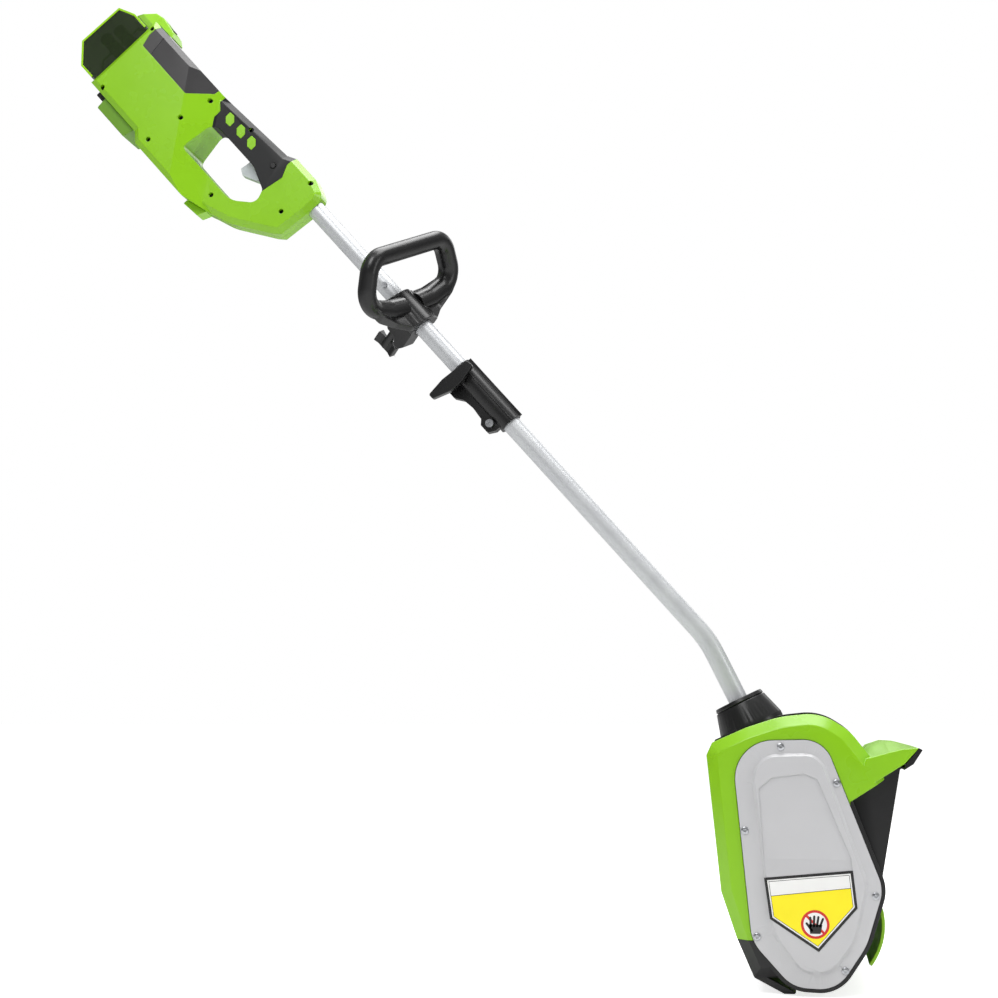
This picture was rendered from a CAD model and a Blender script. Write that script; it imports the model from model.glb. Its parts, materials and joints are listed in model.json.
import json
import math

import bmesh
import bpy
from mathutils import Matrix, Vector


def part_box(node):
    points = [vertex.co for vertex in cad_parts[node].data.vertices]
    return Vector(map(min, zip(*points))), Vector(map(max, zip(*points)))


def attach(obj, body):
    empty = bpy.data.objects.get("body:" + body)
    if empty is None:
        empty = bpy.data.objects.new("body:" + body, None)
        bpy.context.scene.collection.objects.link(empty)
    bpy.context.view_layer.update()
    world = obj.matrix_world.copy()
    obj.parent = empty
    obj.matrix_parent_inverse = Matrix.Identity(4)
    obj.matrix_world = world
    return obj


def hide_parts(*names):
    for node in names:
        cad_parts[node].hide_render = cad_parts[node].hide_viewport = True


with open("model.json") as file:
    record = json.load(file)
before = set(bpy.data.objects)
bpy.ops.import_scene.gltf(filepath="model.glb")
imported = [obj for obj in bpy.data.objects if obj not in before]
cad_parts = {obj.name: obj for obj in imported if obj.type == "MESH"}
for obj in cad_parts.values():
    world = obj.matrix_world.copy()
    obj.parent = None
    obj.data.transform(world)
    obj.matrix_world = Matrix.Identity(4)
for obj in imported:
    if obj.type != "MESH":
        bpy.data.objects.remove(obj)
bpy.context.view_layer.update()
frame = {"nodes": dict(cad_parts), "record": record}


# ------------------------------------------------------------------ rear handle shells
# Two clamshell halves moulded in lime green ABS, screwed together from the right over the tube.
# The mould gives them broad even satin faces with softly rounded edges.
MM = 0.001
CREASE = 30             # degrees between faces that meet in a real edge
FACET = 0.6             # degrees between the facets of one flat face
record = frame["record"]
body_of = {node: body for body, nodes in record["behaviour"]["bodies"].items() for node in nodes}


def linear(code):
    """Linear colour of an sRGB hex code."""
    parts = [int(code[i:i + 2], 16) / 255 for i in (0, 2, 4)]
    return [v / 12.92 if v <= 0.04045 else ((v + 0.055) / 1.055) ** 2.4 for v in parts] + [1]


def add(tree, kind, inputs=None, **settings):
    """Adds one node with its settings; an input is a value or another node's output."""
    made = tree.nodes.new(kind)
    for name, value in settings.items():
        setattr(made, name, value)
    for name, value in (inputs or {}).items():
        if isinstance(value, bpy.types.NodeSocket):
            tree.links.new(value, made.inputs[name])
        else:
            made.inputs[name].default_value = value
    return made


def surface(name, light, dark, rough, mottle, grain, relief, edge=0, **fixed):
    """A finish in millimetres: cloudy tone and gloss, a fine grain and softly rounded edges."""
    made = bpy.data.materials.new(name)
    made.use_nodes = True
    tree = made.node_tree
    shader = tree.nodes["Principled BSDF"]
    grid = add(tree, "ShaderNodeTexCoord").outputs["Object"]
    cloud = add(tree, "ShaderNodeTexNoise",
                {"Vector": grid, "Scale": 1 / (mottle * MM), "Detail": 3.0, "Roughness": 0.6})
    tone = add(tree, "ShaderNodeValToRGB", {"Fac": cloud.outputs["Fac"]})
    tone.color_ramp.elements[0].position = 0.35
    tone.color_ramp.elements[0].color = linear(dark)
    tone.color_ramp.elements[1].position = 0.65
    tone.color_ramp.elements[1].color = linear(light)
    tree.links.new(tone.outputs["Color"], shader.inputs["Base Color"])
    gloss = add(tree, "ShaderNodeMapRange", {"Value": cloud.outputs["Fac"], "From Min": 0.3,
                                             "From Max": 0.7, "To Min": rough[0],
                                             "To Max": rough[1]})
    tree.links.new(gloss.outputs["Result"], shader.inputs["Roughness"])
    if relief:
        spark = add(tree, "ShaderNodeTexNoise",
                    {"Vector": grid, "Scale": 1 / (grain * MM), "Detail": 3.0})
        bump = add(tree, "ShaderNodeBump", {"Height": spark.outputs["Fac"], "Strength": 1.0,
                                            "Distance": relief * MM})
        tree.links.new(bump.outputs["Normal"], shader.inputs["Normal"])
    if edge:
        round_off = add(tree, "ShaderNodeBevel", {"Radius": edge * MM}, samples=8)
        tree.links.new(round_off.outputs["Normal"], shader.inputs["Normal"])
    for socket, value in fixed.items():
        shader.inputs[socket.replace("_", " ")].default_value = value
    return made


def merged(node, whole=True):
    """A CAD node's triangles merged into one mesh, its flat faces whole again if asked."""
    mesh = frame["nodes"][node].data.copy()
    work = bmesh.new()
    work.from_mesh(mesh)
    bmesh.ops.remove_doubles(work, verts=work.verts[:], dist=0.01 * MM)
    if whole:
        bmesh.ops.dissolve_limit(work, angle_limit=math.radians(FACET), verts=work.verts[:],
                                 edges=work.edges[:])
    work.to_mesh(mesh)
    work.free()
    return mesh


def shown(name, mesh, finish, crease=CREASE):
    """A new piece with one finish, smooth across edges shallower than the crease."""
    mesh.materials.clear()
    mesh.materials.append(finish)
    mesh.polygons.foreach_set("material_index", [0] * len(mesh.polygons))
    mesh.polygons.foreach_set("use_smooth", [True] * len(mesh.polygons))
    mesh.set_sharp_from_angle(angle=math.radians(crease))
    piece = bpy.data.objects.new(name, mesh)
    bpy.context.scene.collection.objects.link(piece)
    return piece


def stand_for(piece, *nodes):
    """The piece shows in place of CAD nodes, on their body and in their finish."""
    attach(piece, body_of[nodes[0]])
    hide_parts(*nodes)
    return piece


def plain(node, finish, crease=7):
    """A CAD node kept in shape, its broad faces flat and its long strips cut short."""
    mesh = merged(node, whole=False)
    work = bmesh.new()
    work.from_mesh(mesh)
    for reach in (160, 80, 40):
        long_edges = [e for e in work.edges if e.calc_length() > reach * MM]
        bmesh.ops.bisect_edges(work, edges=long_edges, cuts=1)
        bmesh.ops.triangulate(work, faces=[f for f in work.faces if len(f.verts) > 3])
    work.to_mesh(mesh)
    work.free()
    piece = shown(node + "_plain", mesh, finish, crease)
    evened = piece.modifiers.new("evened", "WEIGHTED_NORMAL")
    evened.keep_sharp = True
    return stand_for(piece, node)


def softened(node, finish, width, steps=3):
    """A CAD node with its sharp edges rounded as the mould or tool leaves them."""
    piece = shown(node + "_soft", merged(node), finish)
    rounding = piece.modifiers.new("rounding", "BEVEL")
    rounding.width = width * MM
    rounding.segments = steps
    rounding.limit_method = "ANGLE"
    rounding.angle_limit = math.radians(CREASE)
    rounding.use_clamp_overlap = False
    rounding.harden_normals = True
    return stand_for(piece, node)


def painted(node, finish):
    """A CAD node as it is, in its finish."""
    for slot in frame["nodes"][node].material_slots:
        slot.material = finish


green_abs = surface("lime_abs_satin", "8AC60A", "87C209", (0.26, 0.32), 60, 1.1, 0,
                    Coat_Weight=0.1, Coat_Roughness=0.2)
shell_abs = surface("lime_abs_shell", "8AC60A", "87C209", (0.24, 0.30), 60, 1.1, 0, edge=0.9,
                    Coat_Weight=0.2, Coat_Roughness=0.15)
for half in ("right", "left"):
    plain("handle_shell_" + half, shell_abs)
moss_abs = surface("moss_abs_satin", "6A9A22", "66951F", (0.3, 0.36), 60, 1.1, 0.002)
softened("latch_box", moss_abs, 1.4)
softened("rest_foot", green_abs, 1.2)

# ------------------------------------------------------------------ grip, panels and inserts
# Soft-touch elastomer is moulded over the grip on both halves, with green ABS pips through it.
# The dark grey side panels are separate clipped plates with a finer, drier grain.
soft_touch = surface("soft_touch_elastomer", "131415", "111213", (0.42, 0.50), 40, 0.9, 0.003,
                     Specular_IOR_Level=0.35)
panel_abs = surface("grey_abs_textured", "3A393A", "373637", (0.36, 0.42), 50, 0.9, 0.002)
for half in ("right", "left"):
    softened("grip_pad_" + half, soft_touch, 0.6)
softened("side_panels", panel_abs, 0.4)
softened("grip_inserts", green_abs, 0.3)

# ------------------------------------------------------------------ trigger and buttons
# Pale grey glossy trigger on a steel pin; black lock button and battery release pad.
pale_abs = surface("pale_grey_abs", "CDD3D4", "C6CCCE", (0.22, 0.28), 30, 1.2, 0.004)
black_nylon = surface("black_nylon_satin", "101011", "0E0E0F", (0.28, 0.34), 45, 0.9, 0.002)
softened("trigger", pale_abs, 0.7)
softened("lock_button", black_nylon, 0.4)
softened("release_button", black_nylon, 0.8)
painted("trigger_switch", black_nylon)
painted("terminal_block", black_nylon)

# ------------------------------------------------------------------ shell screws
# Black phosphated pan head screws with a six-lobed socket, sunk at the foot of each counterbore.
# The same head in zinc plate holds the belt cover on the head.


def islands(node):
    """Lowest and highest corner of each separate solid of a CAD node."""
    work = bmesh.new()
    work.from_mesh(merged(node))
    left = set(work.verts)
    found = []
    while left:
        group, edge = set(), [left.pop()]
        while edge:
            vert = edge.pop()
            group.add(vert)
            for link in vert.link_edges:
                other = link.other_vert(vert)
                if other in left:
                    left.discard(other)
                    edge.append(other)
        spots = [v.co.copy() for v in group]
        low = Vector([min(p[k] for p in spots) for k in range(3)])
        high = Vector([max(p[k] for p in spots) for k in range(3)])
        found.append((low, high))
    work.free()
    return found


def screw_head(name, radius, height, socket):
    """Pan head facing -Y with a six-lobed socket, its seat at the origin."""
    work = bmesh.new()
    around = 36
    rows = [(radius, 0.0), (radius, 0.45), (radius * 0.93, 0.75), (radius * 0.75, 0.95),
            (None, 1.0), (None, 0.1), (0.0, 0.05)]
    rings = []
    for reach, rise in rows:
        ring = []
        for k in range(around):
            turn = 2 * math.pi * k / around
            lobe = socket * (1 + 0.16 * math.cos(6 * turn))
            size = lobe if reach is None else max(reach, 0.01 * radius)
            ring.append(work.verts.new((size * MM * math.cos(turn), -rise * height * MM,
                                        size * MM * math.sin(turn))))
        rings.append(ring)
    for low, high in zip(rings, rings[1:]):
        for k in range(around):
            after = (k + 1) % around
            work.faces.new((low[k], low[after], high[after], high[k]))
    work.faces.new(rings[-1])
    work.faces.new(list(reversed(rings[0])))
    bmesh.ops.recalc_face_normals(work, faces=work.faces[:])
    mesh = bpy.data.meshes.new(name)
    work.to_mesh(mesh)
    work.free()
    return bpy.data.objects.new(name, mesh)


def scattered(name, spots, pattern, finish):
    """One mesh of a pattern repeated at many places by a small node tree."""
    points = bpy.data.meshes.new(name + "_spots")
    points.from_pydata([tuple(p) for p in spots], [], [])
    holder = bpy.data.objects.new(name + "_spots", points)
    bpy.context.scene.collection.objects.link(holder)
    tree = bpy.data.node_groups.new(name, "GeometryNodeTree")
    tree.interface.new_socket("Spots", in_out="INPUT", socket_type="NodeSocketGeometry")
    tree.interface.new_socket("Pattern", in_out="INPUT", socket_type="NodeSocketObject")
    tree.interface.new_socket("Finish", in_out="INPUT", socket_type="NodeSocketMaterial")
    tree.interface.new_socket("Result", in_out="OUTPUT", socket_type="NodeSocketGeometry")
    given = add(tree, "NodeGroupInput")
    shape = add(tree, "GeometryNodeObjectInfo", {"Object": given.outputs["Pattern"]})
    copies = add(tree, "GeometryNodeInstanceOnPoints",
                 {"Points": given.outputs["Spots"], "Instance": shape.outputs["Geometry"]})
    solid = add(tree, "GeometryNodeRealizeInstances", {"Geometry": copies.outputs["Instances"]})
    coat = add(tree, "GeometryNodeSetMaterial",
               {"Geometry": solid.outputs["Geometry"], "Material": given.outputs["Finish"]})
    add(tree, "NodeGroupOutput", {"Result": coat.outputs["Geometry"]})
    maker = holder.modifiers.new(name, "NODES")
    maker.node_group = tree
    for item in tree.interface.items_tree:
        if item.name == "Pattern":
            maker[item.identifier] = pattern
        if item.name == "Finish":
            maker[item.identifier] = finish
    ready = holder.evaluated_get(bpy.context.evaluated_depsgraph_get())
    mesh = bpy.data.meshes.new_from_object(ready)
    bpy.data.objects.remove(holder)
    return shown(name, mesh, finish)


HEAD_HEIGHT = 2.3
black_steel = surface("black_phosphated_steel", "26272A", "1C1D1F", (0.3, 0.4), 8, 0.8, 0.004,
                      Metallic=0.8)
spots = [((low + high) / 2).xz.to_3d().xzy + Vector((0, low.y + HEAD_HEIGHT * MM, 0))
         for low, high in islands("handle_screws")]
head = screw_head("shell_screw_pattern", 3.2, HEAD_HEIGHT, 1.5)
stand_for(scattered("shell_screws", spots, head, black_steel), "handle_screws")

# ------------------------------------------------------------------ pins, springs and shafts
# Zinc plated steel turnings and wire: bright, slightly cloudy plating.
zinc = surface("zinc_plated_steel", "C4C6C9", "B0B2B6", (0.24, 0.36), 6, 1.5, 0.002, Metallic=1.0)
for node in ("trigger_pin", "trigger_spring", "stop_button", "coupler_hardware", "knob_bolt",
             "loop_screw", "socket_bolt", "motor_bracket", "motor_shaft", "motor_pulley",
             "auger_bearings", "auger_shaft"):
    painted(node, zinc)

# ------------------------------------------------------------------ board and wiring
# Glass-epoxy controller board under green solder mask; PVC sheathed lead in the tubes.
board_green = surface("solder_mask", "1E5E38", "174A2C", (0.3, 0.4), 10, 1.0, 0.01)
cable_pvc = surface("pvc_sheath", "19191A", "151516", (0.45, 0.5), 20, 1.0, 0.01)
painted("controller_board", board_green)
for node in ("upper_lead", "lower_lead", "lead_plug", "lead_socket", "loop_liner"):
    painted(node, cable_pvc)

# ------------------------------------------------------------------ battery pack
# Smoked polycarbonate case over wrapped cells, in an edge frame of clear lime polycarbonate,
# with a green ABS cap that carries the charge gauge.
smoke = surface("smoked_polycarbonate", "1F3008", "1B2B06", (0.06, 0.10), 40, 2.0, 0, IOR=1.58,
                Alpha=0.7)
lime_pc = surface("lime_polycarbonate", "9CD60C", "92CC08", (0.08, 0.12), 30, 2.0, 0,
                  Coat_Weight=0.4)
cell_wrap = surface("cell_wrap", "0E120A", "0B0F08", (0.3, 0.4), 12, 2.0, 0)
softened("battery_case", smoke, 0.5)
softened("battery_frame", lime_pc, 0.4)
softened("battery_cap", green_abs, 1.0)
softened("gauge_button", black_nylon, 0.3)
painted("battery_cells", cell_wrap)

# ------------------------------------------------------------------ shaft tubes
# Drawn aluminium tube, satin finished and clear anodised: pale grey with a soft sheen.
satin_alloy = surface("anodised_aluminium", "C6C8CA", "C0C2C5", (0.36, 0.42), 25, 0.8, 0,
                      Metallic=0.35)
plain("upper_tube", satin_alloy, crease=CREASE)
plain("lower_tube", satin_alloy, crease=CREASE)

# ------------------------------------------------------------------ coupler and loop handle
# Glass-filled nylon mouldings clamped round the tube by bolts; the loop grip is one moulding
# with its saddle, drawn down by a bow-tie knob under the shaft.
plain("coupler_sleeve", black_nylon, crease=CREASE)
softened("coupler_knob", black_nylon, 1.0)
softened("loop_handle", black_nylon, 0.9)
softened("loop_clamp", black_nylon, 1.0)
softened("loop_knob", black_nylon, 0.7)

# ------------------------------------------------------------------ head mouldings
# Green ABS housing over black nylon cheeks and chamber; the spine and the socket cone are
# separate black mouldings on top, and the scraper and visor lip are clipped on.
softened("upper_housing", green_abs, 1.2)
for node in ("right_cheek", "left_cheek", "chamber_back", "scraper_bar", "visor_lip",
             "centre_spine", "left_cover"):
    softened(node, black_nylon, 0.6)
softened("shaft_socket", black_nylon, 0.9)

# ------------------------------------------------------------------ belt cover
# Silver-grey painted ABS, held by six zinc screws, with a printed film sticker on its middle.
silver_abs = surface("silver_grey_abs", "C4C4C6", "C2C2C4", (0.24, 0.27), 70, 1.0, 0, edge=0.9,
                     Coat_Weight=0.4, Coat_Roughness=0.1)
plain("side_cover", silver_abs)
spots = [((low + high) / 2).xz.to_3d().xzy + Vector((0, low.y + HEAD_HEIGHT * MM, 0))
         for low, high in islands("cover_screws")]
head = screw_head("cover_screw_pattern", 4.6, HEAD_HEIGHT, 1.9)
stand_for(scattered("cover_screw_heads", spots, head, zinc), "cover_screws")

# ------------------------------------------------------------------ sticker
# Polyester film with a black edge, a white band and a yellow field that carry no words, and a
# plain no-hands sign of a red ring over a simple hand.
low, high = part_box("cover_label")
FILM = 0.06
printed = {name: surface("film_" + name, light, dark, (0.22, 0.28), 30, 2.0, 0.002)
           for name, light, dark in (("black", "1A1A1A", "171717"), ("white", "F2F2F0", "EEEEEC"),
                                     ("yellow", "FFEE10", "FBEA0C"), ("red", "D42A20", "CC261C"))}


def inset(corners, depth):
    """Convex outline moved in by a depth."""
    moved = []
    count = len(corners)
    middle = Vector((sum(p[0] for p in corners) / count, sum(p[1] for p in corners) / count))
    for k in range(count):
        lines = []
        for a, b in ((k - 1, k), (k, (k + 1) % count)):
            start, end = Vector(corners[a]), Vector(corners[b])
            side = (end - start).normalized()
            normal = Vector((-side.y, side.x))
            if normal.dot(middle - start) < 0:
                normal = -normal
            lines.append((start + normal * depth, side))
        (p, u), (q, v) = lines
        step = (q - p).cross(v) / u.cross(v)
        moved.append(tuple(p + u * step))
    return moved


def film(name, corners, layer, finish):
    """Flat piece of film on the cover, one layer above another."""
    work = bmesh.new()
    out = low.y - layer * FILM * MM
    face = work.faces.new([work.verts.new((x * MM, out, z * MM)) for x, z in corners])
    if face.normal.y > 0 or (face.normal_update() or face.normal.y > 0):
        face.normal_flip()
    solid = bmesh.ops.extrude_face_region(work, geom=[face])
    for item in solid["geom"]:
        if isinstance(item, bmesh.types.BMVert):
            item.co.y += (layer + 1) * FILM * MM
    bmesh.ops.recalc_face_normals(work, faces=work.faces[:])
    mesh = bpy.data.meshes.new(name)
    work.to_mesh(mesh)
    work.free()
    piece = shown(name, mesh, finish)
    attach(piece, "head")
    return piece


def disc(x, z, radius, steps=48):
    """Corners of a round outline."""
    return [(x + radius * math.cos(2 * math.pi * k / steps),
             z + radius * math.sin(2 * math.pi * k / steps)) for k in range(steps)]


def bar(start, end, width):
    """Corners of a straight bar with round ends."""
    start, end = Vector(start), Vector(end)
    lean = math.atan2(end.y - start.y, end.x - start.x)
    corners = []
    for spot, first in ((end, -90), (start, 90)):
        for k in range(9):
            turn = lean + math.radians(first + 22.5 * k)
            corners.append((spot.x + width / 2 * math.cos(turn),
                            spot.y + width / 2 * math.sin(turn)))
    return corners


edge = [(-26.6, 136.6), (76.4, 146.4), (80.6, 103.2), (35, 52.6), (-20.6, 89.2)]
sheet = film("sticker_edge", edge, 0, printed["black"])
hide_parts("cover_label")
film("sticker_line", inset(edge, 3.2), 1, printed["white"])
film("sticker_inner_line", inset(edge, 4.6), 2, printed["black"])
film("sticker_band", inset(edge, 5.2), 3, printed["white"])
field = inset(edge, 5.2)
BAND_SHARE = 0.42       # depth of the white band down the straight sides
left_foot = Vector(field[0]).lerp(Vector(field[4]), BAND_SHARE)
right_foot = Vector(field[1]).lerp(Vector(field[2]), BAND_SHARE)
film("sticker_rule", [left_foot + Vector((0, 0.7)), right_foot + Vector((0, 0.7)), right_foot,
                      left_foot], 4, printed["black"])
film("sticker_field", [left_foot, right_foot, field[2], field[3], field[4]], 4, printed["yellow"])
SIGN_X, SIGN_Z, SIGN_R = 31.5, 84.0, 16.5
film("sign_ring", disc(SIGN_X, SIGN_Z, SIGN_R), 5, printed["red"])
film("sign_ground", disc(SIGN_X, SIGN_Z, SIGN_R - 3.0), 6, printed["white"])
slant = (SIGN_R - 2.0) * math.cos(math.radians(45))
film("sign_slash", bar((SIGN_X - slant, SIGN_Z + slant), (SIGN_X + slant, SIGN_Z - slant), 3.0),
     7, printed["red"])
film("sign_palm", inset([(SIGN_X - 5.5, SIGN_Z - 10), (SIGN_X + 5.5, SIGN_Z - 10),
                         (SIGN_X + 7.5, SIGN_Z - 1), (SIGN_X - 6.5, SIGN_Z)], -0.6), 8,
     printed["black"])
for k, (lean, reach) in enumerate(((-0.5, 9.6), (0.6, 11.0), (1.9, 10.4), (3.6, 8.4))):
    root = (SIGN_X - 5.0 + 3.5 * k, SIGN_Z - 2)
    tip = (root[0] + lean, root[1] + reach)
    film("sign_finger_" + str(k + 1), bar(root, tip, 2.6), 8, printed["black"])
film("sign_thumb", bar((SIGN_X - 4, SIGN_Z - 7), (SIGN_X - 9.8, SIGN_Z + 1), 2.7), 8,
     printed["black"])

# ------------------------------------------------------------------ drive
# Painted motor can, ribbed rubber belt and a moulded nylon pulley behind the cover.
motor_can = surface("motor_paint", "3C3C3E", "303032", (0.3, 0.4), 20, 1.5, 0.01, Metallic=0.5)
belt_rubber = surface("belt_rubber", "161616", "121212", (0.6, 0.7), 15, 1.0, 0.03)
painted("motor_body", motor_can)
painted("auger_pulley", black_nylon)
painted("drive_belt", belt_rubber)

# ------------------------------------------------------------------ auger
# Two long scoops moulded in tough green elastomer on ribs round the steel shaft.
paddle_tpe = surface("paddle_tpe", "93CC1A", "88BE14", (0.38, 0.46), 35, 1.2, 0.02)
softened("auger_paddles", paddle_tpe, 0.8)

# ------------------------------------------------------------------ floor, light and camera
# Pale paper floor lifted to white where it is seen directly, white surroundings that darken
# towards the ground, four soft lamps, and the lens low on the right side.
FLOOR_REACH = 60.0
ground = bpy.data.meshes.new("floor")
ground.from_pydata([(x * FLOOR_REACH, y * FLOOR_REACH, -0.0005)
                    for x, y in ((-1, -1), (1, -1), (1, 1), (-1, 1))], [], [(0, 1, 2, 3)])
paper = surface("studio_paper", "F4F4F4", "F1F1F1", (0.85, 0.9), 900, 3.0, 0)
watched = add(paper.node_tree, "ShaderNodeLightPath").outputs["Is Camera Ray"]
PAPER_LIFT = 0.75
lift = add(paper.node_tree, "ShaderNodeMath", {0: watched, 1: PAPER_LIFT}, operation="MULTIPLY")
paper_shader = paper.node_tree.nodes["Principled BSDF"]
paper_shader.inputs["Emission Color"].default_value = linear("FFFFFF")
paper.node_tree.links.new(lift.outputs[0], paper_shader.inputs["Emission Strength"])
ground.materials.append(paper)
floor = bpy.data.objects.new("floor", ground)
bpy.context.scene.collection.objects.link(floor)

world = bpy.data.worlds.new("studio")
bpy.context.scene.world = world
world.use_nodes = True
sky = world.node_tree
aim = add(sky, "ShaderNodeTexCoord").outputs["Generated"]
height = add(sky, "ShaderNodeSeparateXYZ", {"Vector": aim}).outputs["Z"]
ramp = add(sky, "ShaderNodeValToRGB", {"Fac": add(sky, "ShaderNodeMapRange", {
    "Value": height, "From Min": -1.0, "From Max": 1.0}).outputs["Result"]})
ramp.color_ramp.elements[0].position, ramp.color_ramp.elements[0].color = 0.40, linear("5A5A5A")
ramp.color_ramp.elements[1].position, ramp.color_ramp.elements[1].color = 0.95, linear("F4F4F4")
seen = add(sky, "ShaderNodeLightPath").outputs["Is Camera Ray"]
plain = add(sky, "ShaderNodeBackground", {"Color": linear("FFFFFF"), "Strength": 1.0})
glow = add(sky, "ShaderNodeBackground", {"Color": ramp.outputs["Color"], "Strength": 0.62})
blend = add(sky, "ShaderNodeMixShader", {0: seen, 1: glow.outputs[0], 2: plain.outputs[0]})
sky.links.new(blend.outputs[0], sky.nodes["World Output"].inputs["Surface"])


def softbox(name, place, aim, width, height, power):
    """Rectangular lamp pointed at a place."""
    lamp = bpy.data.lights.new(name, "AREA")
    lamp.shape = "RECTANGLE"
    lamp.size, lamp.size_y, lamp.energy = width, height, power
    box = bpy.data.objects.new(name, lamp)
    bpy.context.scene.collection.objects.link(box)
    box.location = place
    box.rotation_euler = (Vector(aim) - Vector(place)).to_track_quat("-Z", "Y").to_euler()


softbox("key", (-0.9, -2.3, 2.9), (-0.4, 0, 0.6), 1.5, 1.5, 48)
softbox("top", (0.0, 0.2, 3.0), (-0.2, 0, 0.5), 2.8, 1.4, 66)
softbox("rim", (0.3, 2.6, 2.0), (-0.2, 0, 0.6), 2.4, 1.2, 16)
softbox("side", (2.6, -1.0, 1.2), (0, 0, 0.4), 0.8, 1.6, 14)

EYE = Vector((0.008, -2.204, 0.325))
ACROSS = Vector((0.9853, 0.1710, 0.0)).normalized()
AHEAD = Vector((-0.16955, 0.977, 0.1298)).normalized()
lens = bpy.data.cameras.new("camera")
lens.lens, lens.sensor_width = 60, 36
camera = bpy.data.objects.new("camera", lens)
bpy.context.scene.collection.objects.link(camera)
turn = Matrix((ACROSS, ACROSS.cross(AHEAD), -AHEAD)).transposed().to_4x4()
camera.matrix_world = Matrix.Translation(EYE) @ turn
bpy.context.scene.camera = camera
bpy.context.scene.view_settings.view_transform = "Standard"
